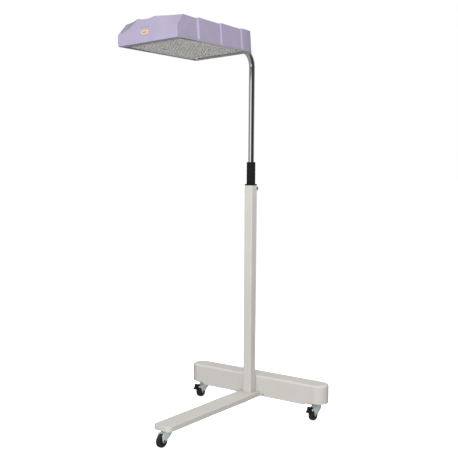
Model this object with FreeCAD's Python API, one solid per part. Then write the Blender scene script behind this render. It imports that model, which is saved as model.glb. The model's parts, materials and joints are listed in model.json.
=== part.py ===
import FreeCAD, Part

# Overhead treatment lamp on a three-castor stand.
# The stand is a T: a long flat front leg and a rounded crossbar casing behind the column. A chrome mast
# telescopes out of the column, bends once and carries a wide, flat hood that tilts about the mast's end.
# Millimetres, +Z up, floor at z = 0, the leg and the hood point along -Y, the crossbar lies along X.
# Everything is drawn around the column's axis, and save() moves it so that the origin is on the floor
# below the middle of the whole lamp.

import math
import os

V = FreeCAD.Vector
AXIS_X, AXIS_Y, AXIS_Z = V(1, 0, 0), V(0, 1, 0), V(0, 0, 1)

# ---- driving dimensions ------------------------------------------------------------------------------
running_gap = 0.05          # radial clearance of every running fit
fit_gap = 0.2               # clearance of pieces that only have to pass each other

# castors, each drawn around its own swivel axis
wheel_d, wheel_w = 51.0, 21.0
castor_h = 65.0             # floor to the underside of the base
castor_trail = 27.0
crown_r = 20.5
fork_plate = 2.5
stem_r = 5.0
axle_r = 3.0
# Y and Z of the brake pedal's pin and of its two toes
pedal_pivot, upper_toe, lower_toe = (-53.5, 52.0), (-57.0, 60.2), (-66.0, 43.6)
toe_r, lug_reach = 4.3, 10.0
fork_back, fork_eye_r = 19.5, 7.0

# base
leg_w, leg_h, leg_wall = 86.0, 20.5, 2.0
leg_front = 609.5           # column axis to the front end of the leg
front_castor_y = -577.0
casing_l, casing_d, casing_h = 714.0, 91.0, 90.5
casing_front = 25.0         # column axis to the front face of the casing
casing_corner_r, casing_edge_r, casing_wall = 45.4, 9.0, 3.0   # the ends are full rounds
casing_screw_head = 1.8
rear_castor_x = 304.5
floor_plate_t = 2.0
beam_l, beam_d, beam_h, beam_wall = 640.0, 50.0, 40.0, 2.0
# over the castors the casing's lower edge rises, so that the brake pedals swing clear
arch_start, arch_end, arch_h = 268.0, 283.0, 9.5

# column
column_w, column_wall, column_top = 40.0, 2.0, 1005.0
sleeve_r, sleeve_h, cap_flange_h, spigot_h = 19.0, 96.0, 6.0, 50.0
bush_wall = 2.0
clamp_z = 991.0
stud_r = 4.0

# mast
mast_r, mast_wall = 12.5, 1.5
mast_bottom = 640.0
bend_start, bend_r = 1517.0, 64.0
glide_h = 50.0

# hood, drawn with the mast's end as its Y axis and its rear face at y = 0
head_reach = 219.7          # column axis to the hood's rear face
head_roll = 2.6             # tilt about the mast's end, right side up
hood_w, hood_l, hood_h = 287.0, 470.0, 88.0
hood_wall = 3.0
side_draft = math.tan(math.radians(2.0))
front_lean = 1.5            # how far the top of the front face leans back
rim_h = 6.0                 # straight band round the bottom, below the stepped sides
roof_drop = 2.0             # each side segment falls this much towards the rear
# side segments from front to rear: where each one ends, and how far its rear end steps in
segment_ends = (-340.0, -199.5, -61.0, 0.0)
segment_steps = (9.0, 6.5, 6.5, 1.0)
scoop_start, scoop_nose, scoop_back, scoop_sag = 42.0, 42.0, 40.0, 6.0
trough_half, trough_depth = 36.0, 4.5
rim_front, rim_rear = 27.0, 33.0   # widths of the border in front of and behind the grille
rim_t = 2.0
side_gap = 5.0              # open slot between the grille's frame and each side wall
ledge = 16.0                # width of the two ledges that carry the grille's rear end
grille_pitch, grille_web, grille_t = 19.05, 1.8, 12.7
frame_t = 1.8               # thickness of the flat frame round the grille's cells
lamp_count, lamp_pitch, lamp_r = 6, 57.0, 8.75

# ---- values worked out from them ---------------------------------------------------------------------
base_z = castor_h
leg_top = base_z + leg_h
beam_z = base_z + floor_plate_t
casing_top = base_z + casing_h
casing_mid = casing_front + casing_d / 2
casing_rear = casing_front + casing_d
beam_front = casing_mid - beam_d / 2
sleeve_z = column_top + cap_flange_h
sleeve_top = sleeve_z + sleeve_h
column_inner = column_w - 2 * column_wall
bush_r = mast_r + running_gap + bush_wall
arm_z = bend_start + bend_r
wheel_r = wheel_d / 2
axle_z = wheel_r
head_front = head_reach + hood_l
column_y = (head_front - casing_rear - casing_screw_head) / 2
rim_z = -hood_h / 2
roof_z = hood_h / 2
hood_half = hood_w / 2
frame_half = hood_half - hood_wall - side_gap
grille_half_x = hood_half - ledge + 3
grille_front, grille_rear = -hood_l + rim_front - 2, -rim_rear - 1
grille_z = rim_z + rim_t
grille_top = grille_z + grille_t
reflector_z = 0.0           # top face of the reflector, level with the mast's axis
reflector_front, reflector_rear = -hood_l + 30, -88.0
lamp_z = -13.0
panel_y, panel_t = -3.0, 1.5

castors = {
    "front": (0.0, front_castor_y, False),
    "rear_left": (-rear_castor_x, casing_mid, True),
    "rear_right": (rear_castor_x, casing_mid, True),
}


# ---- small helpers -----------------------------------------------------------------------------------
def block(x, y, z):
    """A box from three (low, high) ranges."""
    return Part.makeBox(x[1] - x[0], y[1] - y[0], z[1] - z[0], V(x[0], y[0], z[0]))


def rod(radius, start, axis, length):
    return Part.makeCylinder(radius, length, start, axis)


def ring(outer, inner, start, axis, length):
    return rod(outer, start, axis, length).cut(rod(inner, start, axis, length))


def hexagon(radius, start, axis, length):
    """A hexagonal prism with that corner radius along X, Y or Z."""
    side_axis = AXIS_Z if axis.z == 0 else AXIS_X
    points = []
    for i in range(7):
        turn = FreeCAD.Rotation(axis, 60.0 * i)
        points.append(start + turn.multVec(side_axis * radius))
    return Part.Face(Part.makePolygon(points)).extrude(axis * length)


def side_plate(points, x_low, x_high):
    """A plate with an outline in the YZ plane."""
    outline = [V(x_low, y, z) for y, z in points]
    return Part.Face(Part.makePolygon(outline + outline[:1])).extrude(V(x_high - x_low, 0, 0))


def plan_block(half_x, y, z, radius):
    """A box with its four upright edges rounded."""
    body = block((-half_x, half_x), y, z)
    upright = [e for e in body.Edges if abs(e.tangentAt(e.FirstParameter).z) > 0.99]
    return body.makeFillet(radius, upright)


def solid_from(quads):
    return Part.Solid(Part.Shell([Part.Face(Part.makePolygon(list(q) + [q[0]])) for q in quads]))


def fuse(shapes):
    first, rest = shapes[0], shapes[1:]
    return first.multiFuse(rest).removeSplitter() if rest else first


def group(shapes):
    return Part.makeCompound(shapes)


def save(name, shape):
    moved = shape.copy()
    moved.translate(V(0, column_y, 0))
    moved.exportStep("parts/" + name + ".step")


# ---- castors -----------------------------------------------------------------------------------------
def castor_head():
    """Swivel head that is fixed to the base: flange, raceway, rivet and threaded stem."""
    flange = rod(crown_r, V(0, 0, base_z - 2.5), AXIS_Z, 2.5)
    race = rod(15.0, V(0, 0, base_z - 6.8), AXIS_Z, 4.3)
    rivet = rod(4.0, V(0, 0, 53.0), AXIS_Z, base_z - 53.0)
    rivet_head = rod(7.0, V(0, 0, 52.0), AXIS_Z, 2.8)
    stem = rod(stem_r, V(0, 0, base_z - 1), AXIS_Z, 16.0)
    return fuse([flange, race, rivet, rivet_head, stem])


def castor_fork(braked):
    """Pressed fork: a crown with a hole for the rivet and a cheek on each side of the wheel."""
    crown_low, crown_high = 55.0, 58.0
    cheek_in = wheel_w / 2 + 1.2
    cheek_out = cheek_in + fork_plate
    crown = fuse([rod(crown_r, V(0, 0, crown_low), AXIS_Z, crown_high - crown_low),
                  block((-cheek_out, cheek_out), (-24, fork_back), (crown_low, crown_high))])
    outline = [(fork_back, crown_high), (-24, crown_high), (-37, 50), (-34, axle_z),
               (-22.5, 20.1), (-4, 30), (12, 41), (fork_back, 49)]
    ear = [(-20, crown_high), (-50, 56.5), (-58.2, 54.5), (-57.5, 48.5), (-52, 47), (-30, 45)]
    cheeks = []
    for x in (-cheek_out, cheek_in):
        cheeks.append(side_plate(outline, x, x + fork_plate))
        cheeks.append(rod(fork_eye_r, V(x, -castor_trail, axle_z), AXIS_X, fork_plate))
        if braked:
            cheeks.append(side_plate(ear, x, x + fork_plate))
    fork = fuse([crown] + cheeks)
    fork = fork.cut(rod(4.0 + running_gap, V(0, 0, 50), AXIS_Z, 20))
    if braked:
        pin_y, pin_z = pedal_pivot
        fork = fork.cut(rod(2.0 + running_gap, V(-30, pin_y, pin_z), AXIS_X, 60))
    return fork.cut(rod(axle_r, V(-30, -castor_trail, axle_z), AXIS_X, 60))


def castor_axle():
    """Axle bolt with a hexagon head on the right and a nut on the left."""
    end = wheel_w / 2 + 1.2 + fork_plate
    bolt = rod(axle_r, V(-end - 5, -castor_trail, axle_z), AXIS_X, 2 * end + 8)
    head = hexagon(5.5, V(end, -castor_trail, axle_z), AXIS_X, 4.0)
    nut = hexagon(5.5, V(-end - 4, -castor_trail, axle_z), AXIS_X, 4.0)
    return fuse([bolt, head, nut])


def castor_tyre():
    start = V(-wheel_w / 2, -castor_trail, axle_z)
    outer = rod(wheel_r, start, AXIS_X, wheel_w)
    outer = outer.makeFillet(5.0, [e for e in outer.Edges if e.Curve.TypeId == "Part::GeomCircle"])
    return outer.cut(rod(wheel_r - 7.5, start, AXIS_X, wheel_w))


def castor_hub():
    """Wheel centre: a web between two rims, and a boss that runs on the axle."""
    radius = wheel_r - 7.5
    start = V(-wheel_w / 2 + 1, -castor_trail, axle_z)
    body = rod(radius, start, AXIS_X, wheel_w - 2)
    for x in (-wheel_w / 2, wheel_w / 2 - 5):
        body = body.cut(rod(radius - 2.5, V(x, -castor_trail, axle_z), AXIS_X, 5))
    boss_half = wheel_w / 2 + 1.0
    boss = rod(6.0, V(-boss_half, -castor_trail, axle_z), AXIS_X, 2 * boss_half)
    bore = rod(axle_r + running_gap, V(-20, -castor_trail, axle_z), AXIS_X, 40)
    return fuse([body, boss]).cut(bore)


def castor_pedal():
    """Brake pedal: a pin through the fork's ears, an upper and a lower toe, and a lug above the tyre."""
    y, z = pedal_pivot
    half = wheel_w / 2 + 0.7
    boss_r = 4.0

    def bar(radius, centre, inset=0.0):
        return rod(radius, V(-half + inset, centre[0], centre[1]), AXIS_X, 2 * (half - inset))

    def web(end, end_r):
        """Flat-sided arm as wide as the boss at one end and as the toe at the other."""
        way = math.atan2(end[1] - z, end[0] - y)
        points = []
        corners = (((y, z), boss_r, -1), ((y, z), boss_r, 1), (end, end_r, 1), (end, end_r, -1))
        for centre, radius, side in corners:
            out = side * (radius - 0.2)
            points.append((centre[0] - out * math.sin(way), centre[1] + out * math.cos(way)))
        return side_plate(points, -half, half)

    pin = rod(2.0, V(-half - 3.5, y, z), AXIS_X, 2 * half + 7)
    to_wheel = math.atan2(axle_z - z, -castor_trail - y)
    lug_angle = to_wheel - math.radians(45)
    lug = (y + lug_reach * math.cos(lug_angle), z + lug_reach * math.sin(lug_angle))
    return fuse([bar(boss_r, (y, z)), pin, bar(toe_r, upper_toe), bar(toe_r, lower_toe), bar(1.5, lug, 2.0),
                 web(upper_toe, toe_r), web(lower_toe, toe_r), web(lug, 1.5)])


def save_castors():
    heads = []
    for name, (x, y, braked) in castors.items():
        pieces = {"fork": castor_fork(braked), "axle": castor_axle()}
        pieces["tyre"] = castor_tyre()
        pieces["hub"] = castor_hub()
        if braked:
            pieces["pedal"] = castor_pedal()
        for piece, shape in pieces.items():
            shape.translate(V(x, y, 0))
            save("castor_" + name + "_" + piece, shape)
        head = castor_head()
        head.translate(V(x, y, 0))
        heads.append(head)
    save("castor_heads", group(heads))


# ---- base --------------------------------------------------------------------------------------------
foot_bolt_x = 10.0


def base_leg():
    """Flat rectangular tube with a rounded, closed front end. It butts against the cross beam."""
    outer = block((-leg_w / 2, leg_w / 2), (-leg_front, beam_front), (base_z, leg_top))
    front = [e for e in outer.Edges
             if abs(e.tangentAt(e.FirstParameter).z) > 0.99 and e.CenterOfMass.y < -leg_front + 1]
    outer = outer.makeFillet(20.0, front)
    middle_z = base_z + leg_h / 2
    long_edges = [e for e in outer.Edges
                  if abs(e.CenterOfMass.z - middle_z) > leg_h / 2 - 0.1
                  and e.CenterOfMass.y < beam_front - 1]
    outer = outer.makeFillet(2.0, long_edges)
    inside = block((-leg_w / 2 + leg_wall, leg_w / 2 - leg_wall), (-leg_front + 12, beam_front),
                   (base_z + leg_wall, leg_top - leg_wall))
    leg = outer.cut(inside)
    leg = leg.cut(rod(stem_r + fit_gap, V(0, front_castor_y, base_z - 1), AXIS_Z, leg_wall + 2))
    for x in (-foot_bolt_x, foot_bolt_x):
        leg = leg.cut(rod(4.0 + fit_gap, V(x, 0, base_z - 1), AXIS_Z, leg_h + 2))
    return leg


def cross_beam():
    outer = block((-beam_l / 2, beam_l / 2), (beam_front, beam_front + beam_d), (beam_z, beam_z + beam_h))
    inside = block((-beam_l / 2, beam_l / 2), (beam_front + beam_wall, beam_front + beam_d - beam_wall),
                   (beam_z + beam_wall, beam_z + beam_h - beam_wall))
    beam = outer.cut(inside)
    for x in (-rear_castor_x, rear_castor_x):
        beam = beam.cut(rod(stem_r + fit_gap, V(x, casing_mid, beam_z - 1), AXIS_Z, beam_wall + 2))
    for start, axis in casing_screw_places:
        beam = beam.cut(rod(2.0 + fit_gap, start, axis, casing_screw_l + 2))
    return beam


casing_screw_l = 24.0
casing_screw_places = (
    [(V(x, casing_front, base_z + 10), AXIS_Y) for x in (-58.0, 58.0)]
    + [(V(x, casing_rear, base_z + 24), -AXIS_Y) for x in (-290.0, -100.0, 100.0, 290.0)]
)


def base_casing():
    """Crossbar casing: rounded corners and top edges, open below, notched for the leg."""
    half = casing_l / 2
    outer = plan_block(half, (casing_front, casing_rear), (base_z, casing_top), casing_corner_r)
    top_edges = [e for e in outer.Edges if e.CenterOfMass.z > casing_top - 0.1]
    outer = outer.makeFillet(casing_edge_r, top_edges)
    inside = plan_block(half - casing_wall, (casing_front + casing_wall, casing_rear - casing_wall),
                        (base_z, casing_top - casing_wall), casing_corner_r - casing_wall)
    inner_top = [e for e in inside.Edges if e.CenterOfMass.z > casing_top - casing_wall - 0.1]
    inside = inside.makeFillet(casing_edge_r - casing_wall, inner_top)
    notch = block((-leg_w / 2 - fit_gap, leg_w / 2 + fit_gap),
                  (casing_front - 1, casing_front + casing_wall + 1), (base_z - 1, leg_top + fit_gap))
    casing = outer.cut(inside).cut(notch)
    for side in (-1, 1):
        arch = [(arch_start, base_z - 1), (arch_start, base_z), (arch_end, base_z + arch_h),
                (half + 1, base_z + arch_h), (half + 1, base_z - 1)]
        outline = [V(side * x, casing_front - 1, z) for x, z in arch]
        cut_out = Part.Face(Part.makePolygon(outline + outline[:1])).extrude(V(0, casing_d + 2, 0))
        casing = casing.cut(cut_out)
    for start, axis in casing_screw_places:
        casing = casing.cut(rod(2.0 + fit_gap, start - axis, axis, 12.0))
    return casing


def casing_floor():
    """Plate that closes the casing below: full depth between the castors, as deep as the beam over them."""
    inset = casing_wall + fit_gap
    plate = block((-arch_start, arch_start), (casing_front + inset, casing_rear - inset), (base_z, beam_z))
    tongue = block((-beam_l / 2, beam_l / 2), (beam_front, beam_front + beam_d), (base_z, beam_z))
    plate = fuse([plate, tongue])
    for_leg = block((-leg_w / 2 - fit_gap, leg_w / 2 + fit_gap), (casing_front, beam_front + fit_gap),
                    (base_z - 1, beam_z + 1))
    plate = plate.cut(for_leg)
    for x in (-rear_castor_x, rear_castor_x):
        for_stem = rod(stem_r + fit_gap, V(x, casing_mid, base_z - 1), AXIS_Z, floor_plate_t + 2)
        plate = plate.cut(for_stem)
    return plate


def casing_screws():
    screws = []
    for start, axis in casing_screw_places:
        head = rod(3.8, start - axis * casing_screw_head, axis, casing_screw_head)
        shank = rod(2.0, start, axis, casing_screw_l)
        screws.append(fuse([head, shank]))
    return group(screws)


def castor_nuts():
    nuts = []
    for x, y, braked in castors.values():
        z = beam_z + beam_wall if braked else base_z + leg_wall
        nuts.append(hexagon(9.0, V(x, y, z), AXIS_Z, 8.0).cut(rod(stem_r, V(x, y, z - 1), AXIS_Z, 10.0)))
    return group(nuts)


def counterweights():
    """A cast bar at each end of the cross beam, standing on it."""
    low = beam_z + beam_h
    bars = []
    for side in (-1, 1):
        x = sorted((side * 130.0, side * 330.0))
        bars.append(block(x, (casing_mid - 24, casing_mid + 24), (low, low + 34)))
    return group(bars)


# ---- column ------------------------------------------------------------------------------------------
def square_bar(width, z, radius):
    half = width / 2
    return plan_block(half, (-half, half), z, radius)


def column_tube():
    outer = square_bar(column_w, (leg_top, column_top), 3.0)
    tube = outer.cut(square_bar(column_inner, (leg_top - 1, column_top + 1), 1.0))
    return tube.cut(rod(stud_r + fit_gap, V(0, 0, clamp_z), AXIS_Y, column_w))


def column_foot():
    foot = square_bar(column_inner - 0.02, (leg_top, leg_top + 40), 1.5)
    for x in (-foot_bolt_x, foot_bolt_x):
        foot = foot.cut(rod(4.0, V(x, 0, leg_top - 1), AXIS_Z, 27.0))
    return foot


def foot_bolts():
    bolts = []
    for x in (-foot_bolt_x, foot_bolt_x):
        head = hexagon(7.5, V(x, 0, base_z - 5), AXIS_Z, 5.0)
        bolts.append(fuse([head, rod(4.0, V(x, 0, base_z - 1), AXIS_Z, leg_h + 24)]))
    return group(bolts)


def column_cap():
    """Cap on the column with a spigot inside it and the tall sleeve that guides the mast."""
    flange = square_bar(column_w, (column_top, sleeve_z), 3.0)
    spigot = square_bar(column_inner - 2 * running_gap, (column_top - spigot_h, column_top), 1.5)
    sleeve = rod(sleeve_r, V(0, 0, sleeve_z), AXIS_Z, sleeve_h)
    sleeve = sleeve.makeFillet(1.5, [e for e in sleeve.Edges if e.CenterOfMass.z > sleeve_top - 0.1])
    cap = fuse([flange, spigot, sleeve])
    cap = cap.cut(rod(bush_r, V(0, 0, column_top - spigot_h - 1), AXIS_Z, spigot_h + sleeve_h + 10))
    return cap.cut(rod(stud_r + fit_gap, V(0, 0, clamp_z), AXIS_Y, column_w))


def mast_bush(z, length):
    return ring(bush_r, mast_r + running_gap, V(0, 0, z), AXIS_Z, length)


def clamp_nut():
    nut = hexagon(8.0, V(0, column_w / 2, clamp_z), AXIS_Y, 6.5)
    return nut.cut(rod(stud_r + running_gap, V(0, 0, clamp_z), AXIS_Y, 40.0))


def clamp_pad():
    """Nylon pad between the stud's tip and the mast."""
    pad = rod(stud_r, V(0, mast_r - 1, clamp_z), AXIS_Y, 3.6)
    return pad.cut(rod(mast_r + running_gap, V(0, 0, clamp_z - 10), AXIS_Z, 20.0))


knob_y = column_w / 2 + 7.5
knob_r, knob_l = 9.5, 18.0


def clamp_stud():
    return rod(stud_r, V(0, mast_r + 2.7, clamp_z), AXIS_Y, knob_y - mast_r + 7.3)


def clamp_knob():
    """Round knob with eight finger grooves, moulded on the stud."""
    knob = rod(knob_r, V(0, knob_y, clamp_z), AXIS_Y, knob_l)
    knob = knob.makeFillet(1.5, [e for e in knob.Edges if e.Curve.TypeId == "Part::GeomCircle"])
    for i in range(8):
        angle = math.radians(45 * i)
        centre = V((knob_r + 1.2) * math.cos(angle), knob_y + 4, clamp_z + (knob_r + 1.2) * math.sin(angle))
        knob = knob.cut(rod(2.4, centre, AXIS_Y, knob_l))
    return knob.cut(rod(stud_r, V(0, knob_y - 1, clamp_z), AXIS_Y, 11.0))


# ---- mast --------------------------------------------------------------------------------------------
arm_end = head_reach + 84.0


def mast_path():
    corner = V(0, -bend_r, arm_z)
    middle = V(0, -bend_r * (1 - math.cos(math.pi / 4)), bend_start + bend_r * math.sin(math.pi / 4))
    upright = Part.makeLine(V(0, 0, mast_bottom), V(0, 0, bend_start))
    bend = Part.Arc(V(0, 0, bend_start), middle, corner).toShape()
    arm = Part.makeLine(corner, V(0, -arm_end, arm_z))
    return Part.Wire([upright, bend, arm])


def mast_tube():
    sections = []
    for radius in (mast_r, mast_r - mast_wall):
        circle = Part.Wire([Part.makeCircle(radius, V(0, 0, mast_bottom), AXIS_Z)])
        sections.append(mast_path().makePipeShell([circle], True, False))
    return sections[0].cut(sections[1])


def mast_plug():
    """Foot of the mast: a plug in the tube with a flange that carries the glide block."""
    flange = rod(16.5, V(0, 0, mast_bottom - 5), AXIS_Z, 5.0)
    plug = rod(mast_r - mast_wall, V(0, 0, mast_bottom - 1), AXIS_Z, 31.0)
    return fuse([flange, plug])


def mast_ring():
    return ring(16.5, mast_r, V(0, 0, mast_bottom + glide_h + 2 * running_gap), AXIS_Z, 5.0)


def glide_block():
    z = (mast_bottom + running_gap, mast_bottom + running_gap + glide_h)
    glide = square_bar(column_inner - 2 * running_gap, z, 3.0)
    return glide.cut(rod(mast_r + running_gap, V(0, 0, mast_bottom - 1), AXIS_Z, glide_h + 2))


def arm_collar():
    """Collar on the mast's end that keeps the hood from sliding off."""
    return ring(17.0, mast_r, V(0, -arm_end + 0.5, arm_z), AXIS_Y, 7.0)


# ---- hood --------------------------------------------------------------------------------------------
def hood_segment(y_front, y_rear, half_front, half_rear, top_front, top_rear, z_low, lean=0.0):
    """One wedge of the hood: narrower and lower at its rear end, with drafted sides."""
    def corner(side, y, z):
        half = half_front + (half_rear - half_front) * (y - y_front) / (y_rear - y_front)
        return V(side * (half - side_draft * (z - rim_z)), y, z)

    low = [corner(-1, y_front, z_low), corner(1, y_front, z_low),
           corner(1, y_rear, z_low), corner(-1, y_rear, z_low)]
    high = [corner(-1, y_front + lean, top_front), corner(1, y_front + lean, top_front),
            corner(1, y_rear, top_rear), corner(-1, y_rear, top_rear)]
    walls = [(low[i], low[(i + 1) % 4], high[(i + 1) % 4], high[i]) for i in range(4)]
    return solid_from([low, high] + walls)


def hood_body(inset, y_start, y_stop, z_low):
    """The stepped block of the hood, or with an inset, the space inside its walls."""
    pieces = []
    y_front = y_start
    for y_end, step in zip(segment_ends, segment_steps):
        last = y_end == segment_ends[-1]
        y_rear = y_stop if last else y_end + inset
        lean = front_lean if y_front == y_start else 0.0
        pieces.append(hood_segment(y_front, y_rear, hood_half - inset, hood_half - step - inset,
                                   roof_z - inset, roof_z - roof_drop - inset, z_low, lean))
        y_front = y_rear
    return fuse(pieces)


def corner_scoop(side, grow):
    """Big shallow cylinder that hollows one front corner, from low on the side up to the nose."""
    outer_low = V(side * hood_half, -hood_l, rim_z + scoop_start)
    nose_top = V(side * scoop_nose, -hood_l, roof_z)
    roof_corner = V(side * hood_half, -hood_l + scoop_back, roof_z)
    along = nose_top - outer_low
    chord = along.Length
    normal = along.cross(roof_corner - outer_low)
    normal.normalize()
    if normal.y > 0:
        normal = -normal
    slope = normal.cross(along)
    slope.normalize()
    radius = chord * chord / (8 * scoop_sag)
    centre = (outer_low + nose_top) * 0.5 + normal * (radius - scoop_sag)
    return rod(radius + grow, centre - slope * 150, slope, 300)


def roof_trough(grow):
    """Shallow channel along the middle of the roof."""
    radius = (trough_half ** 2 + trough_depth ** 2) / (2 * trough_depth)
    return rod(radius + grow, V(0, -hood_l - 10, roof_z - trough_depth + radius), AXIS_Y, hood_l + 20)


def hollow(body, grow):
    for side in (-1, 1):
        body = body.cut(corner_scoop(side, grow))
    return body.cut(roof_trough(grow))


def hood_shell():
    """Moulded hood: stepped sides, straight rim, in-turned border round the grille, open at the rear."""
    outer = hollow(hood_body(0.0, -hood_l, 0.0, rim_z + rim_h), 0.0)
    band = block((-hood_half, hood_half), (-hood_l, 0), (rim_z, rim_z + rim_h))
    upright = [e for e in band.Edges
               if abs(e.tangentAt(e.FirstParameter).z) > 0.99 and e.CenterOfMass.y < -hood_l + 1]
    outer = fuse([outer, band.makeFillet(3.0, upright)])
    inside = hollow(hood_body(hood_wall, -hood_l + hood_wall, 1.0, rim_z + rim_t), hood_wall)
    wall_half = hood_half - hood_wall
    slot = block((-wall_half, wall_half), (-hood_l + hood_wall, 1), (rim_z + rim_t, rim_z + rim_h - rim_t))
    below_rim = (rim_z - 1, rim_z + rim_t + 1)
    window = block((-wall_half, wall_half), (grille_front + 3, grille_rear - 3), below_rim)
    passage = block((-hood_half + ledge, hood_half - ledge), (grille_rear - 4, 1), below_rim)
    return outer.cut(inside).cut(slot).cut(window).cut(passage)


def rear_panel():
    """Sheet panel that closes the rear, with the flange that shows as a strip below the rim."""
    low, high = rim_z - 1.2, roof_z - roof_drop - hood_wall - trough_depth - 1.5
    half_low = hood_half - ledge - 1
    half_high = hood_half - side_draft * hood_h - hood_wall - segment_steps[-1] - 2
    outline = [V(x, panel_y, z) for x, z in ((-half_low, low), (half_low, low), (half_low, rim_z + rim_h),
                                             (half_high, rim_z + rim_h + 4), (half_high, high),
                                             (-half_high, high), (-half_high, rim_z + rim_h + 4),
                                             (-half_low, rim_z + rim_h))]
    plate = Part.Face(Part.makePolygon(outline + outline[:1])).extrude(V(0, panel_t, 0))
    strip = block((-hood_half + 5, hood_half - 5), (-rim_rear, panel_y + panel_t), (low, rim_z))
    corners = [e for e in strip.Edges if abs(e.tangentAt(e.FirstParameter).z) > 0.99]
    panel = fuse([plate, strip.makeFillet(6.0, corners)])
    panel = panel.cut(rod(17.0, V(0, -10, 0), AXIS_Y, 20))
    panel = panel.cut(block((inlet_x - 14, inlet_x + 14), (-10, 5), (-10.5, 10.5)))
    panel = panel.cut(block((switch_x - 10.7, switch_x + 10.7), (-10, 5), (-14.2, 14.2)))
    for x, z in hood_screw_places:
        panel = panel.cut(rod(1.7, V(x, -10, z), AXIS_Y, 20))
    return panel


hood_screw_places = [(x, z) for x in (-116.0, 116.0) for z in (-26.0, 24.0)]


def hood_screws():
    screws = []
    for x, z in hood_screw_places:
        head = rod(3.4, V(x, panel_y + panel_t, z), AXIS_Y, 1.5)
        screws.append(fuse([head, rod(1.5, V(x, panel_y - 6, z), AXIS_Y, 8.0)]))
    return group(screws)


def arm_grommet():
    """Ring in the rear panel round the mast's end."""
    body = ring(17.0, 14.0, V(0, panel_y - 2, 0), AXIS_Y, panel_t + 3.5)
    lips = [ring(20.0, 14.0, V(0, y, 0), AXIS_Y, 1.5) for y in (panel_y - 1.5, panel_y + panel_t)]
    return fuse([body] + lips)


def grille():
    """Egg-crate louvre with square cells, in a flat frame that rests on the hood's border."""
    width, length = 2 * grille_half_x, grille_rear - grille_front
    columns = int((width - grille_web) // grille_pitch)
    rows = int((length - grille_web) // grille_pitch)
    x_first = -columns * grille_pitch / 2
    y_first = (grille_front + grille_rear - rows * grille_pitch) / 2
    corners = [V(-grille_half_x, grille_front, grille_z), V(grille_half_x, grille_front, grille_z),
               V(grille_half_x, grille_rear, grille_z), V(-grille_half_x, grille_rear, grille_z)]
    wires = [Part.makePolygon(corners + corners[:1])]
    edge = grille_web / 2
    for i in range(columns):
        for j in range(rows):
            x, y = x_first + i * grille_pitch, y_first + j * grille_pitch
            x_low, x_high = x + edge, x + grille_pitch - edge
            y_low, y_high = y + edge, y + grille_pitch - edge
            cell = [V(x_low, y_low, grille_z), V(x_low, y_high, grille_z),
                    V(x_high, y_high, grille_z), V(x_high, y_low, grille_z)]
            wires.append(Part.makePolygon(cell + cell[:1]))
    face = Part.Face(wires, "Part::FaceMakerBullseye")
    cells = face.extrude(V(0, 0, grille_t))
    edging = block((-frame_half, frame_half), (grille_front, grille_rear), (grille_z, grille_z + frame_t))
    opening = block((-grille_half_x + 1, grille_half_x - 1), (grille_front + 1, grille_rear - 1),
                    (grille_z - 1, grille_z + frame_t + 1))
    return fuse([cells, edging.cut(opening)])


reflector_half, reflector_flare, reflector_t = 118.0, 10.0, 1.0


def reflector():
    """Folded sheet over the lamps: a flat top, two flared sides and two upright ends."""
    def trough(inset, y_low, y_high, z_low):
        wide = reflector_half + reflector_flare - inset
        high = reflector_z - inset
        points = [V(-wide, y_low, z_low), V(wide, y_low, z_low),
                  V(reflector_half - inset, y_low, high), V(-reflector_half + inset, y_low, high)]
        return Part.Face(Part.makePolygon(points + points[:1])).extrude(V(0, y_high - y_low, 0))

    low = grille_top + 0.3
    outer = trough(0.0, reflector_front, reflector_rear, low)
    return outer.cut(trough(reflector_t, reflector_front + reflector_t, reflector_rear - reflector_t, low))


lamp_base_x, lamp_base_l = 82.0, 22.0
lamp_middle = (reflector_front + reflector_rear) / 2
lamp_places = [lamp_middle + (lamp_count - 1) * lamp_pitch / 2 - i * lamp_pitch for i in range(lamp_count)]


def lamp(y):
    """Glass of one compact lamp: two tubes side by side and the bridge between their ends."""
    tubes = []
    for side in (-1, 1):
        tube = rod(lamp_r, V(-113, y + side * 10.5, lamp_z), AXIS_X, lamp_base_x + 113)
        end = [e for e in tube.Edges if e.CenterOfMass.x < -112.9 and e.Curve.TypeId == "Part::GeomCircle"]
        tubes.append(tube.makeFillet(5.0, end))
    bridge = rod(4.0, V(-102, y - 10.5, lamp_z), AXIS_Y, 21.0)
    return fuse(tubes + [bridge])


def lamp_bases():
    return group([block((lamp_base_x, lamp_base_x + lamp_base_l), (y - 21.5, y + 21.5),
                        (lamp_z - 11, lamp_z + 11))
                  for y in lamp_places])


def lampholders():
    x = lamp_base_x + lamp_base_l
    top = reflector_z - reflector_t
    return group([block((x, x + 12), (y - 15, y + 15), (lamp_z - 12, top)) for y in lamp_places])


ballast_places = (-150.0, -260.0, -370.0)
ballast_half_x, ballast_half_y, ballast_h = 75.0, 21.0, 28.0


def ballasts():
    return group([block((-ballast_half_x, ballast_half_x), (y - ballast_half_y, y + ballast_half_y),
                        (reflector_z, reflector_z + ballast_h)) for y in ballast_places])


spine_top = roof_z - trough_depth - roof_drop - hood_wall - 0.5
spine_t = 3.0
hub_y, hub_half, hub_low = (-76.0, -12.0), 24.0, -20.0
hub_bolt_places = [(x, y) for x in (-18.5, 18.5) for y in (-64.0, -24.0)]


def spine_plate():
    """Strip under the roof that carries the hub and, on four posts, the reflector."""
    low = spine_top - spine_t
    plate = block((-30, 30), (-hood_l + 60, -8), (low, spine_top))
    posts = [rod(4.0, V(x, y, reflector_z), AXIS_Z, low - reflector_z + 1)
             for x in (-22, 22) for y in (-205, -315)]
    plate = fuse([plate] + posts)
    for x, y in hub_bolt_places:
        plate = plate.cut(rod(3.0, V(x, y, low - 1), AXIS_Z, spine_t + 2))
    return plate


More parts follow.
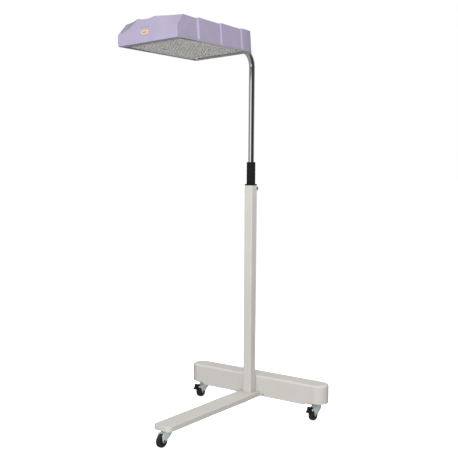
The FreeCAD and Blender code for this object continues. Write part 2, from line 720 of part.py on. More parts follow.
def tilt_hub():
    """Split block that grips the mast's end and lets the hood tilt on it."""
    body = block((-hub_half, hub_half), hub_y, (hub_low, spine_top - spine_t))
    body = body.cut(rod(mast_r + running_gap, V(0, hub_y[0] - 1, 0), AXIS_Y, 80))
    body = body.cut(block((-1.5, 1.5), (hub_y[0] - 1, hub_y[1] + 1), (hub_low - 1, 0)))
    for x, y in hub_bolt_places:
        body = body.cut(rod(3.0 + fit_gap, V(x, y, hub_low - 1), AXIS_Z, 70))
    return body


def hub_bolts():
    bolts = []
    for x, y in hub_bolt_places:
        head = hexagon(5.5, V(x, y, hub_low - 4), AXIS_Z, 4.0)
        bolts.append(fuse([head, rod(3.0, V(x, y, hub_low - 1), AXIS_Z, spine_top - hub_low)]))
    return group(bolts)


inlet_x, switch_x = 85.0, -62.0


def mains_inlet():
    """Appliance inlet with three blades in a hooded socket."""
    y = panel_y + panel_t
    flange = block((inlet_x - 25, inlet_x + 25), (y, y + 2.5), (-12.5, 12.5))
    body = block((inlet_x - 13.8, inlet_x + 13.8), (y - 24, y + 1), (-10.2, 10.2))
    socket = block((inlet_x - 12, inlet_x + 12), (y - 14, y + 4), (-8.2, 8.2))
    blades = [block((inlet_x + dx - 1, inlet_x + dx + 1), (y - 15, y), (dz - 2, dz + 2))
              for dx, dz in ((-7, -0.5), (7, -0.5), (0, 4))]
    return fuse([fuse([flange, body]).cut(socket)] + blades)


rocker_pivot_y = panel_y + panel_t - 0.5
trunnion_r = 1.5


def switch_frame():
    y = panel_y + panel_t
    flange = block((switch_x - 12.5, switch_x + 12.5), (y, y + 2), (-16.5, 16.5))
    body = block((switch_x - 10.5, switch_x + 10.5), (y - 20, y + 1), (-14, 14))
    well = block((switch_x - 8.3, switch_x + 8.3), (y - 9, y + 3), (-12.4, 12.4))
    pivot_hole = rod(trunnion_r + running_gap, V(switch_x - 9.4, rocker_pivot_y, 0), AXIS_X, 18.8)
    return fuse([flange, body]).cut(well).cut(pivot_hole)


rocker_tilt = 8.0


def rocker():
    """Rocker with a hollow front face and a trunnion each side, resting with its lower end pressed in."""
    y = rocker_pivot_y
    outline = [(y - 2, -11), (y + 4.3, -11), (y + 2.6, 0), (y + 4.3, 11), (y - 2, 11)]
    trunnions = rod(trunnion_r, V(switch_x - 9.2, y, 0), AXIS_X, 18.4)
    body = fuse([side_plate(outline, switch_x - 8.1, switch_x + 8.1), trunnions])
    body.rotate(V(0, y, 0), AXIS_X, rocker_tilt)
    return body


def cable(points, radius=2.5):
    """A lead along straight runs with round corners."""
    pieces = []
    for a, b in zip(points, points[1:]):
        run = b - a
        pieces.append(rod(radius, a, run, run.Length))
    pieces += [Part.makeSphere(radius, p) for p in points[1:-1]]
    return fuse(pieces)


terminal_x, terminal_y = (86.0, 114.0), (-230.0, -190.0)
branch_r = 2.0              # thinner leads that branch off the trunk
inlet_lead_x, switch_lead_x = 106.0, 92.0
inlet_turn_y, switch_turn_y = -60.0, -110.0
branch_y = -210.0


def terminal_block():
    return block(terminal_x, terminal_y, (reflector_z, reflector_z + 18))


def wiring_loom():
    """Leads from the inlet and the switch to the terminal block, and from it to each ballast."""
    z = reflector_z + 5
    inlet_end = panel_y + panel_t - 24
    switch_end = panel_y + panel_t - 20
    first = cable([V(inlet_x + 5, inlet_end, z), V(inlet_x + 5, inlet_turn_y, z),
                   V(inlet_lead_x, inlet_turn_y - 30, z), V(inlet_lead_x, terminal_y[1], z)])
    second = cable([V(switch_x, switch_end, z), V(switch_x, switch_turn_y, z),
                    V(switch_lead_x, switch_turn_y, z), V(switch_lead_x, terminal_y[1], z)])
    trunk_x = (ballast_half_x + terminal_x[0]) / 2
    trunk_z = reflector_z + 12
    trunk = [V(trunk_x, ballast_places[0] + 4, trunk_z), V(trunk_x, ballast_places[-1] - 4, trunk_z)]
    runs = [cable(trunk),
            cable([V(trunk_x, branch_y, trunk_z), V(terminal_x[0], branch_y, trunk_z)], branch_r)]
    for y in ballast_places:
        runs.append(cable([V(ballast_half_x, y, trunk_z), V(trunk_x, y, trunk_z)], branch_r))
    return group([first, second, fuse(runs)])


def place_head(shape):
    """From the hood's own frame to the end of the mast, with the tilt that it stands at."""
    placed = shape.copy()
    placed.rotate(V(0, 0, 0), AXIS_Y, -head_roll)
    placed.translate(V(0, -head_reach, arm_z))
    return placed


def save_head():
    pieces = {
        "hood_shell": hood_shell(), "rear_panel": rear_panel(), "hood_screws": hood_screws(),
        "arm_grommet": arm_grommet(), "grille": grille(), "reflector": reflector(),
        "lamp_bases": lamp_bases(), "lampholders": lampholders(), "ballasts": ballasts(),
        "spine_plate": spine_plate(), "tilt_hub": tilt_hub(), "hub_bolts": hub_bolts(),
        "mains_inlet": mains_inlet(), "switch_frame": switch_frame(), "rocker": rocker(),
        "terminal_block": terminal_block(), "wiring_loom": wiring_loom(),
    }
    for i, y in enumerate(lamp_places):
        pieces["lamp_%d" % (i + 1)] = lamp(y)
    for name, shape in pieces.items():
        save(name, place_head(shape))


def save_stand():
    pieces = {
        "base_leg": base_leg(), "cross_beam": cross_beam(), "base_casing": base_casing(),
        "casing_floor": casing_floor(), "casing_screws": casing_screws(), "castor_nuts": castor_nuts(),
        "counterweights": counterweights(), "column_tube": column_tube(), "column_foot": column_foot(),
        "foot_bolts": foot_bolts(), "column_cap": column_cap(),
        "upper_bush": mast_bush(sleeve_top - 24, 24.0),
        "lower_bush": mast_bush(column_top - spigot_h, 28.0),
        "clamp_nut": clamp_nut(), "clamp_pad": clamp_pad(), "clamp_stud": clamp_stud(),
        "clamp_knob": clamp_knob(), "glide_block": glide_block(), "mast_tube": mast_tube(),
        "mast_plug": mast_plug(), "mast_ring": mast_ring(), "arm_collar": arm_collar(),
    }
    for name, shape in pieces.items():
        save(name, shape)


os.makedirs("parts", exist_ok=True)
save_castors()
save_stand()
save_head()
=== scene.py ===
import json
import math

import bmesh
import bpy
from mathutils import Matrix, Vector


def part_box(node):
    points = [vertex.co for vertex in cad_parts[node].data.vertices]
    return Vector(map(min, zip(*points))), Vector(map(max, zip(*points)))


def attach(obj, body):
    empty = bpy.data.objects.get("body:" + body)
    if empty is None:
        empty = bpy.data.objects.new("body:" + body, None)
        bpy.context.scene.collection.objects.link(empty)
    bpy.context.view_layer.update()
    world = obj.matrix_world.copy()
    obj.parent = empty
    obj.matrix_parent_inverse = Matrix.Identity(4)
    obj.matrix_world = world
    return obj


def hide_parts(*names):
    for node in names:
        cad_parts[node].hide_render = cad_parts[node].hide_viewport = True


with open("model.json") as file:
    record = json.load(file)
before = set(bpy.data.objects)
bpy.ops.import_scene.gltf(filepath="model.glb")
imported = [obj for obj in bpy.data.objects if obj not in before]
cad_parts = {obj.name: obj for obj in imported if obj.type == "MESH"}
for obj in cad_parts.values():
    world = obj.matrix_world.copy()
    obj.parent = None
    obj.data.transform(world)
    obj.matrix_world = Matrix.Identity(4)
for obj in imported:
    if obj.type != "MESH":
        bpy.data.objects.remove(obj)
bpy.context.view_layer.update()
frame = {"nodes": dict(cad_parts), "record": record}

MM = 0.001
slot_of = {row["node"]: row["material_slot"] for row in frame["record"]["subparts"]}

# Pieces of the base and the mast are drawn in millimetres round the column's axis, standing on the floor.
column_low, column_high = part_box("column_tube")
COLUMN_Y = (column_low.y + column_high.y) / 2
AT_COLUMN = Matrix.Translation((0, COLUMN_Y, 0))

# The mast: a round tube with one bend, and the arm that reaches into the hood.
TUBE_R, MAST_FOOT = 12.5, 640.0
BEND_Z, BEND_R, ARM_TIP = 1517.0, 64.0, 303.7
ARM_Z = BEND_Z + BEND_R

# The hood's own frame: its origin is on the arm's axis in the rear panel's plane, and -Y is the way to the
# hood's front. The hood is rolled a little about the arm.
HEAD_REACH, HEAD_ROLL = 219.7, math.radians(-2.6)
HEAD = Matrix.Translation((0, COLUMN_Y - HEAD_REACH * MM, ARM_Z * MM)) @ Matrix.Rotation(HEAD_ROLL, 4, "Y")


# ---- materials ---------------------------------------------------------------------------------------
class Graph:
    """A node tree of a material or the world, with short calls for the nodes that are used below."""

    def __init__(self, name, world=None):
        owner = bpy.data.materials.new(name) if world is None else world
        owner.use_nodes = True
        self.material = owner
        self.tree = owner.node_tree
        self.shader = self.tree.nodes["Principled BSDF" if world is None else "Background"]
        coordinates = self.tree.nodes.new("ShaderNodeTexCoord")
        self.position = coordinates.outputs["Object" if world is None else "Generated"]

    def feed(self, socket, value):
        """Links another node's output to a socket, or gives the socket a plain value."""
        if isinstance(value, bpy.types.NodeSocket):
            self.tree.links.new(value, socket)
        else:
            socket.default_value = value

    def node(self, kind, inputs, **settings):
        made = self.tree.nodes.new(kind)
        for key, value in settings.items():
            setattr(made, key, value)
        for key, value in inputs.items():
            self.feed(made.inputs[key], value)
        return made

    def put(self, name, value):
        self.feed(self.shader.inputs[name], value)

    def stretched(self, scale):
        return self.node("ShaderNodeMapping", {"Vector": self.position, "Scale": scale}).outputs[0]

    def noise(self, scale, detail=3.0, rough=0.5, vector=None):
        inputs = {"Vector": vector or self.position, "Scale": scale, "Detail": detail, "Roughness": rough}
        return self.node("ShaderNodeTexNoise", inputs).outputs[0]

    def span(self, value, low, high, start=0.0, stop=1.0):
        """Maps start..stop to low..high, held at both ends."""
        inputs = {"Value": value, "From Min": start, "From Max": stop, "To Min": low, "To Max": high}
        return self.node("ShaderNodeMapRange", inputs).outputs[0]

    def mix(self, factor, first, second):
        """A colour between two colours; a plain one is given as (red, green, blue)."""
        made = self.node("ShaderNodeMix", {"Factor": factor}, data_type="RGBA")
        for index, value in ((6, first), (7, second)):
            self.feed(made.inputs[index], (*value, 1.0) if isinstance(value, tuple) else value)
        return made.outputs[2]

    def blotches(self, cloud, dark, light):
        """Two near tones that change over with a noise."""
        return self.mix(self.span(cloud, 0.0, 1.0, 0.3, 0.7), dark, light)

    def compute(self, operation, first, second=0.0):
        return self.node("ShaderNodeMath", {0: first, 1: second}, operation=operation).outputs[0]

    def round_edges(self, radius):
        return self.node("ShaderNodeBevel", {"Radius": radius}, samples=6).outputs[0]

    def bump(self, height, strength, distance, under=None):
        inputs = {"Height": height, "Strength": strength, "Distance": distance}
        if under is not None:
            inputs["Normal"] = under
        self.put("Normal", self.node("ShaderNodeBump", inputs).outputs[0])


def powder_coat():
    """Warm grey satin powder coat: fine orange peel, faint cloudiness and a few dark specks."""
    g = Graph("stand_paint")
    tone = g.blotches(g.noise(9.0), (0.438, 0.421, 0.396), (0.462, 0.444, 0.418))
    speck = g.span(g.noise(1500.0, 2.0), 0.0, 1.0, 0.66, 0.74)
    g.put("Base Color", g.mix(g.compute("MULTIPLY", speck, 0.16), tone, (0.30, 0.29, 0.27)))
    g.put("Roughness", g.span(g.noise(45.0, 4.0), 0.40, 0.52, 0.3, 0.7))
    peel = g.compute("ADD", g.noise(420.0, 2.0), g.compute("MULTIPLY", g.noise(1400.0, 1.0), 0.5))
    g.bump(peel, 0.16, 0.0006, g.round_edges(0.0016))
    return g.material


def steel(name, tone, rough, grain=(1.0, 1.0, 60.0), edge=0.0006):
    """Bare or bright-plated steel and aluminium; grain stretches its fine lines."""
    g = Graph(name)
    lines = g.noise(70.0, 4.0, 0.6, g.stretched(grain))
    darker = tuple(0.82 * c for c in tone)
    g.put("Base Color", g.blotches(lines, darker, tone))
    g.put("Metallic", 1.0)
    g.put("Roughness", g.span(lines, rough - 0.08, rough + 0.10, 0.3, 0.7))
    g.bump(lines, 0.08, 0.0003, g.round_edges(edge))
    return g.material


def cast_iron():
    """Dark gritty casting."""
    g = Graph("cast_bar")
    grit = g.noise(260.0, 6.0, 0.7)
    light = g.span(grit, 0.0, 1.0, 0.35, 0.65)
    g.put("Base Color", g.mix(light, (0.028, 0.028, 0.030), (0.075, 0.073, 0.071)))
    g.put("Roughness", g.span(grit, 0.55, 0.8, 0.3, 0.7))
    g.put("Metallic", 0.6)
    g.bump(grit, 0.6, 0.0012, g.round_edges(0.003))
    return g.material


def zinc():
    """Blue-passivated zinc with a fine spangle and duller streaks."""
    g = Graph("zinc_plate")
    spangle = g.node("ShaderNodeTexVoronoi", {"Vector": g.position, "Scale": 520.0}).outputs["Color"]
    grey = g.node("ShaderNodeRGBToBW", {"Color": spangle}).outputs[0]
    tone = g.mix(g.span(grey, 0.0, 1.0, 0.2, 0.8), (0.62, 0.68, 0.695), (0.76, 0.82, 0.835))
    dull = g.span(g.noise(160.0, 4.0, 0.6), 0.0, 0.5, 0.5, 0.75)
    g.put("Base Color", g.mix(dull, tone, (0.45, 0.48, 0.48)))
    g.put("Metallic", 0.45)
    g.put("Roughness", g.span(grey, 0.34, 0.48))
    g.bump(g.noise(900.0, 2.0), 0.06, 0.0003, g.round_edges(0.0006))
    return g.material


def chrome():
    """Bright chrome: nearly a mirror, with long faint polishing lines and a slight bloom."""
    g = Graph("mast_chrome")
    lines = g.noise(500.0, 2.0, 0.5, g.stretched((1.0, 1.0, 0.03)))
    bloom = g.noise(22.0, 4.0)
    g.put("Base Color", g.blotches(bloom, (0.74, 0.735, 0.74), (0.80, 0.795, 0.80)))
    g.put("Metallic", 1.0)
    rough = g.span(bloom, 0.045, 0.085, 0.3, 0.7)
    g.put("Roughness", g.compute("ADD", rough, g.span(lines, 0.0, 0.03, 0.3, 0.7)))
    g.bump(lines, 0.004, 0.0001)
    return g.material


def moulding(name, dark, light, rough, grain=1300.0, strength=0.2, edge=0.0008, coat=0.0, specular=0.5):
    """Moulded plastic with a fine spark-eroded grain."""
    g = Graph(name)
    g.put("Base Color", g.blotches(g.noise(16.0), dark, light))
    fine = g.noise(grain, 3.0, 0.6)
    g.put("Roughness", g.span(fine, rough - 0.05, rough + 0.07, 0.3, 0.7))
    g.put("Coat Weight", coat)
    g.put("Coat Roughness", 0.25)
    g.put("Specular IOR Level", specular)
    g.bump(fine, strength, 0.00035, g.round_edges(edge))
    return g.material


def grille_plastic():
    """Grey moulding, with painted shade along each side of the hood, where the gap between the side wall and
    the grille lies in shadow; the painted shade is widest at the front.
    """
    g = Graph("grille_grey")
    tone = g.blotches(g.noise(16.0), (0.76, 0.75, 0.72), (0.82, 0.81, 0.78))
    inputs = {"Vector": g.position, "Location": HEAD.translation, "Rotation": (0.0, HEAD_ROLL, 0.0)}
    in_hood = g.node("ShaderNodeMapping", inputs, vector_type="TEXTURE").outputs[0]
    in_hood = g.node("ShaderNodeSeparateXYZ", {"Vector": in_hood}).outputs
    front_y, back_y = -0.445, -0.26
    # painted shade: the grille goes near black past this edge, which moves outward towards the rear
    shade_start = g.span(in_hood["Y"], 0.123, 0.1345, front_y, back_y)
    into_shade = g.compute("SUBTRACT", g.compute("ABSOLUTE", in_hood["X"]), shade_start)
    g.put("Base Color", g.mix(g.span(into_shade, 0.0, 1.0, -0.0006, 0.0006), tone, (0.020, 0.019, 0.019)))
    fine = g.noise(1100.0, 3.0, 0.6)
    g.put("Roughness", g.span(fine, 0.31, 0.43, 0.3, 0.7))
    g.bump(fine, 0.10, 0.00035, g.round_edges(0.0004))
    return g.material


def rubber():
    """Black tyre rubber with a little grey dust."""
    g = Graph("castor_tyre")
    dust = g.span(g.noise(240.0, 5.0, 0.65), 0.0, 1.0, 0.45, 0.75)
    g.put("Base Color", g.mix(dust, (0.013, 0.0125, 0.011), (0.034, 0.033, 0.029)))
    g.put("Roughness", g.span(dust, 0.42, 0.62))
    g.put("Specular IOR Level", 0.22)
    g.bump(g.noise(700.0, 4.0), 0.22, 0.0005, g.round_edges(0.001))
    return g.material


def reflector_sheet():
    """Bright rolled aluminium with lines along the roll."""
    g = Graph("reflector_sheet")
    lines = g.noise(60.0, 4.0, 0.6, g.stretched((40.0, 1.0, 1.0)))
    g.put("Base Color", g.mix(lines, (0.74, 0.75, 0.76), (0.88, 0.885, 0.89)))
    g.put("Metallic", 1.0)
    g.put("Roughness", g.span(lines, 0.22, 0.38, 0.3, 0.7))
    g.bump(lines, 0.05, 0.0003)
    return g.material


def phosphor_glass():
    """Glass tube with a white phosphor coat inside: an even milky tone, a little bluer in places."""
    g = Graph("lamp_glass")
    cloud = g.noise(30.0)
    g.put("Base Color", g.mix(cloud, (0.78, 0.81, 0.86), (0.86, 0.875, 0.90)))
    g.put("Roughness", g.span(cloud, 0.10, 0.20, 0.3, 0.7))
    g.put("Coat Weight", 0.5)
    g.put("Coat Roughness", 0.04)
    g.bump(g.noise(500.0, 2.0), 0.02, 0.0002)
    return g.material


def enamel():
    """White enamel of the ballasts' cases."""
    g = Graph("ballast_case")
    g.put("Base Color", g.mix(g.noise(14.0), (0.76, 0.76, 0.75), (0.83, 0.83, 0.82)))
    g.put("Roughness", g.span(g.noise(60.0), 0.26, 0.38, 0.3, 0.7))
    g.bump(g.noise(520.0, 2.0), 0.10, 0.0004, g.round_edges(0.0015))
    return g.material


materials = {
    "stand_paint": powder_coat(),
    "plain_steel": steel("plain_steel", (0.52, 0.525, 0.53), 0.38),
    "cast_bar": cast_iron(),
    "bright_screw": steel("bright_screw", (0.50, 0.51, 0.52), 0.34, grain=(1, 1, 1)),
    "black_moulding": moulding("black_moulding", (0.009, 0.008, 0.0085), (0.012, 0.011, 0.011), 0.55,
                               specular=0.06),
    "nylon": moulding("nylon", (0.74, 0.73, 0.69), (0.80, 0.79, 0.75), 0.38),
    "mast_chrome": chrome(),
    "collar_steel": steel("collar_steel", (0.60, 0.60, 0.61), 0.28, grain=(1, 60, 1)),
    "lilac_moulding": moulding("lilac_moulding", (0.378, 0.336, 0.466), (0.398, 0.356, 0.486), 0.40,
                               grain=900.0, strength=0.16, edge=0.0022, coat=0.12),
    # a paler copy of the lilac: painted highlight for the forward faces of the hood's side steps
    "lilac_highlight": moulding("lilac_highlight", (0.90, 0.87, 0.96), (0.94, 0.91, 0.98), 0.34,
                                grain=900.0, strength=0.16),
    "badge_amber": moulding("badge_amber", (0.62, 0.44, 0.24), (0.72, 0.52, 0.30), 0.30),
    "badge_brown": moulding("badge_brown", (0.20, 0.105, 0.03), (0.26, 0.14, 0.045), 0.30),
    "badge_grey": moulding("badge_grey", (0.27, 0.28, 0.25), (0.32, 0.33, 0.30), 0.40),
    "grille_grey": grille_plastic(),
    "reflector_sheet": reflector_sheet(),
    "lamp_glass": phosphor_glass(),
    "lamp_plastic": moulding("lamp_plastic", (0.77, 0.765, 0.74), (0.83, 0.825, 0.80), 0.34),
    "ballast_case": enamel(),
    "hub_casting": steel("hub_casting", (0.60, 0.61, 0.62), 0.45, grain=(1, 1, 1), edge=0.0012),
    "lead_sheath": moulding("lead_sheath", (0.66, 0.66, 0.65), (0.72, 0.72, 0.71), 0.45),
    "zinc_plate": zinc(),
    "castor_tyre": rubber(),
    "wheel_centre": moulding("wheel_centre", (0.016, 0.0155, 0.016), (0.024, 0.0235, 0.024), 0.36,
                             specular=0.3),
}

for node_name, node in frame["nodes"].items():
    finish = materials[slot_of[node_name]]
    if not node.material_slots:
        node.data.materials.append(finish)
    for material_slot in node.material_slots:
        material_slot.material = finish


# ---- mesh tools, in millimetres ----------------------------------------------------------------------
ORIGIN, UPWARD, RIGHTWARD, LEFTWARD, BACKWARD = (0, 0, 0), (0, 0, 1), (1, 0, 0), (-1, 0, 0), (0, 1, 0)
CORNER_STEPS = 6
PLANES = {
    "XY": lambda a, b, height: (a, b, height),
    "XZ": lambda a, b, height: (a, height, b),
    "YZ": lambda a, b, height: (height, a, b),
}


def cleaned(mesh, weld=None):
    """The mesh with its faces turned outward, and with points closer than weld (in metres) made one."""
    shape = bmesh.new()
    shape.from_mesh(mesh)
    if weld is not None:
        bmesh.ops.remove_doubles(shape, verts=shape.verts, dist=weld)
    bmesh.ops.recalc_face_normals(shape, faces=shape.faces)
    shape.to_mesh(mesh)
    shape.free()
    return mesh


def solid_from(points, faces, weld=None):
    mesh = bpy.data.meshes.new("part")
    mesh.from_pydata([Vector(p) * MM for p in points], [], faces)
    mesh.update()
    return cleaned(mesh, weld)


def joined(meshes):
    """Several meshes as one, without merging where they meet."""
    whole = bmesh.new()
    for mesh in meshes:
        whole.from_mesh(mesh)
    made = bpy.data.meshes.new("part")
    whole.to_mesh(made)
    whole.free()
    return made


def with_modifier(mesh, kind, **settings):
    """The mesh after one modifier."""
    holder = bpy.data.objects.new("holder", mesh)
    bpy.context.scene.collection.objects.link(holder)
    modifier = holder.modifiers.new(kind, kind)
    for key, value in settings.items():
        setattr(modifier, key, value)
    graph = bpy.context.evaluated_depsgraph_get()
    made = bpy.data.meshes.new_from_object(holder.evaluated_get(graph), depsgraph=graph)
    bpy.data.objects.remove(holder)
    return made


def combine(operation, base, tools):
    """Boolean of one mesh with several others, one after the other."""
    for tool in tools:
        other = bpy.data.objects.new("tool", tool)
        bpy.context.scene.collection.objects.link(other)
        base = with_modifier(base, "BOOLEAN", object=other, operation=operation, solver="EXACT")
        bpy.data.objects.remove(other)
    return base


def bevelled(mesh, width, segments=3, angle=24.0):
    """Edges sharper than the angle rounded off."""
    return with_modifier(mesh, "BEVEL", width=width * MM, segments=segments, limit_method="ANGLE",
                         angle_limit=math.radians(angle), harden_normals=False, use_clamp_overlap=True)


def prism(outline, plane, low, high):
    """A plate with an outline in the XY, XZ or YZ plane, between two heights over that plane."""
    count = len(outline)
    points = [PLANES[plane](a, b, height) for height in (low, high) for a, b in outline]
    faces = [list(range(count))[::-1], list(range(count, 2 * count))]
    faces += [[i, (i + 1) % count, count + (i + 1) % count, count + i] for i in range(count)]
    return solid_from(points, faces)


def rectangle(x, z, width, height):
    """Outline round a middle, anticlockwise from the lower left corner."""
    left, right = x - width / 2, x + width / 2
    low, high = z - height / 2, z + height / 2
    return [(left, low), (right, low), (right, high), (left, high)]


def box(x, y, z):
    return prism([(x[0], y[0]), (x[1], y[0]), (x[1], y[1]), (x[0], y[1])], "XY", z[0], z[1])


def arc(centre, radius, start, stop, steps):
    """Points of an arc in a plane, angles in degrees."""
    angles = [math.radians(start + (stop - start) * i / steps) for i in range(steps + 1)]
    return [(centre[0] + radius * math.cos(a), centre[1] + radius * math.sin(a)) for a in angles]


def rounded(outline, radii):
    """An outline with each corner turned into an arc of its own radius."""
    made = []
    for i, radius in enumerate(radii):
        corner = Vector(outline[i])
        before = (Vector(outline[i - 1]) - corner).normalized()
        after = (Vector(outline[(i + 1) % len(outline)]) - corner).normalized()
        half = before.angle(after) / 2
        reach = radius / math.tan(half)
        middle = corner + (before + after).normalized() * (radius / math.sin(half))
        start, stop = corner + before * reach - middle, corner + after * reach - middle
        sweep = start.angle(stop)
        for k in range(CORNER_STEPS + 1):
            part = k / CORNER_STEPS
            share = (math.sin((1 - part) * sweep) * start + math.sin(part * sweep) * stop) / math.sin(sweep)
            made.append(tuple(middle + share))
    return made


def turned(profile, origin, axis, segments, ring=False):
    """A lathe part. The profile's points are (radius, distance along the axis from the origin). It starts and
    ends on the axis, or is closed on itself for a ring."""
    axis = Vector(axis).normalized()
    side = axis.orthogonal().normalized()
    other = axis.cross(side)
    count = len(profile)
    spans = count if ring else count - 1
    points, faces = [], []
    for i in range(segments):
        angle = 2 * math.pi * i / segments
        out = side * math.cos(angle) + other * math.sin(angle)
        points += [Vector(origin) + out * radius + axis * along for radius, along in profile]
        j = (i + 1) % segments
        for k in range(spans):
            m = (k + 1) % count
            faces.append([i * count + k, i * count + m, j * count + m, j * count + k])
    return solid_from(points, faces, weld=1e-6)


def rod(radius, start, axis, length, segments=40):
    return turned([(0, 0), (radius, 0), (radius, length), (0, length)], start, axis, segments)


def swept(path, radius, segments):
    """A round bar along points, with its own frame carried smoothly from point to point."""
    path = [Vector(p) for p in path]
    last = len(path) - 1
    points, faces = [], []
    side = None
    for i, place in enumerate(path):
        ahead = (path[min(i + 1, last)] - path[max(i - 1, 0)]).normalized()
        side = (ahead.orthogonal() if side is None else side - ahead * side.dot(ahead)).normalized()
        other = ahead.cross(side)
        for k in range(segments):
            angle = 2 * math.pi * k / segments
            points.append(place + (side * math.cos(angle) + other * math.sin(angle)) * radius)
    for i in range(last):
        near, far = i * segments, (i + 1) * segments
        for k in range(segments):
            m = (k + 1) % segments
            faces.append([near + k, near + m, far + m, far + k])
    faces.append(list(range(segments))[::-1])
    faces.append([last * segments + k for k in range(segments)])
    return solid_from(points, faces)


def piece(name, mesh, body, finish, stands_for=(), smooth=32.0, place=AT_COLUMN):
    """Adds a mesh as a piece of a body; place moves it from where it was drawn into the scene."""
    mesh = mesh.copy()
    mesh.name = name
    mesh.transform(place)
    mesh.polygons.foreach_set("use_smooth", [True] * len(mesh.polygons))
    mesh.set_sharp_from_angle(angle=math.radians(smooth))
    mesh.materials.clear()
    mesh.materials.append(materials[finish])
    made = bpy.data.objects.new(name, mesh)
    bpy.context.scene.collection.objects.link(made)
    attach(made, body)
    if stands_for:
        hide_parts(*stands_for)
    return made


# ---- hood, in its own frame --------------------------------------------------------------------------
HOOD_W, HOOD_L, HOOD_H, WALL = 287.0, 470.0, 88.0, 3.0
HALF_W = HOOD_W / 2
RIM_Z, ROOF_Z = -HOOD_H / 2, HOOD_H / 2
RIM_H, LIP = 6.0, 2.0
DRAFT = math.tan(math.radians(2.0))
FRONT_LEAN = 1.5
# where each wedge ends, and how much narrower it is there; the roof falls by ROOF_STEP over each
WEDGES, ROOF_STEP = ((-340.0, 9.0), (-199.5, 6.5), (-61.0, 6.5), (0.0, 1.0)), 2.0
# a scoop starts this high on the side, comes this near the middle of the roof and goes this far back
SCOOP_H, SCOOP_X, SCOOP_BACK, SCOOP_SAG = 42.0, 42.0, 40.0, 6.0
TROUGH_HALF, TROUGH_SAG = 36.0, 4.5
# the opening for the light in the bottom lip, and the narrower way behind it for the rear panel
WINDOW_FRONT, WINDOW_REAR, LAND = -442.0, -37.0, 16.0


def hood_body(inset, y_start, y_stop, z_low):
    """The stepped block of the hood: each wedge is narrower and lower at its rear end."""
    wedges = []
    front = y_start
    for end, step in WEDGES:
        rear = y_stop if end == 0.0 else end + inset
        lean = FRONT_LEAN if front == y_start else 0.0
        points = []
        for low in (True, False):
            for side, at_front in ((-1, True), (1, True), (1, False), (-1, False)):
                half = HALF_W - inset - (0.0 if at_front else step)
                top = ROOF_Z - inset - (0.0 if at_front else ROOF_STEP)
                z = z_low if low else top
                y = front + (0.0 if low else lean) if at_front else rear
                points.append((side * (half - DRAFT * (z - RIM_Z)), y, z))
        wedges.append(solid_from(points, [[0, 1, 2, 3], [7, 6, 5, 4], [0, 4, 5, 1],
                                          [1, 5, 6, 2], [2, 6, 7, 3], [3, 7, 4, 0]]))
        front = rear
    return combine("UNION", wedges[0], wedges[1:])


def scoop(side, grow):
    """The big shallow cylinder that hollows one front corner."""
    outer_low = Vector((side * HALF_W, -HOOD_L, RIM_Z + SCOOP_H))
    nose_top = Vector((side * SCOOP_X, -HOOD_L, ROOF_Z))
    roof_corner = Vector((side * HALF_W, -HOOD_L + SCOOP_BACK, ROOF_Z))
    along = nose_top - outer_low
    normal = along.cross(roof_corner - outer_low).normalized()
    if normal.y > 0:
        normal = -normal
    slope = normal.cross(along).normalized()
    radius = along.length ** 2 / (8 * SCOOP_SAG)
    centre = (outer_low + nose_top) / 2 + normal * (radius - SCOOP_SAG)
    length = 300.0
    return rod(radius + grow, centre - slope * length / 2, slope, length, 360)


def trough(grow):
    """The shallow channel along the roof."""
    radius = (TROUGH_HALF ** 2 + TROUGH_SAG ** 2) / (2 * TROUGH_SAG)
    over = 10.0
    middle = (0, -HOOD_L - over, ROOF_Z - TROUGH_SAG + radius)
    return rod(radius + grow, middle, BACKWARD, HOOD_L + 2 * over, 256)


def hollows(grow):
    return [scoop(-1, grow), scoop(1, grow), trough(grow)]


def hood():
    """The lilac moulding: a thin shell with a lip below, open at the back for the rear panel."""
    rim = rounded([(-HALF_W, -HOOD_L), (HALF_W, -HOOD_L), (HALF_W, 0), (-HALF_W, 0)], [3, 3, 0.4, 0.4])
    band = prism(rim, "XY", RIM_Z, RIM_Z + RIM_H)
    outer = combine("UNION", hood_body(0.0, -HOOD_L, 0.0, RIM_Z + RIM_H - 0.01), [band])
    outer = bevelled(combine("DIFFERENCE", outer, hollows(0)), 3.0, 4, 14.0)
    past_rear = 1.0
    inside = hood_body(WALL, -HOOD_L + WALL, past_rear, RIM_Z + LIP)
    inside = combine("DIFFERENCE", inside, hollows(WALL))
    in_walls = (-HALF_W + WALL, HALF_W - WALL)
    through_lip = (RIM_Z - 1, RIM_Z + LIP + 1)
    slot = box(in_walls, (-HOOD_L + WALL, past_rear), (RIM_Z + LIP, RIM_Z + RIM_H - LIP))
    window = box(in_walls, (WINDOW_FRONT, WINDOW_REAR), through_lip)
    passage = box((-HALF_W + LAND, HALF_W - LAND), (WINDOW_REAR - 1, past_rear), through_lip)
    shell = combine("DIFFERENCE", outer, [inside, slot, window, passage])
    made = piece("hood_moulding", shell, "head", "lilac_moulding", ["hood_shell"], 26.0, Matrix())
    highlight_steps(made.data)
    made.data.transform(HEAD)


def highlight_steps(mesh):
    """The narrow faces of the side steps that look forward get a paler copy of the lilac: a painted highlight
    where they catch the light.
    """
    mesh.materials.append(materials["lilac_highlight"])
    step_depth, nose = 14.0, 30.0
    for face in mesh.polygons:
        x, y, z = (value / MM for value in face.center)
        forward = face.normal.y < -0.25 and abs(face.normal.z) < 0.4
        beside = abs(x) > HALF_W - step_depth and y > -HOOD_L + nose
        if forward and beside and z > RIM_Z + RIM_H - 0.5:
            face.material_index = 1


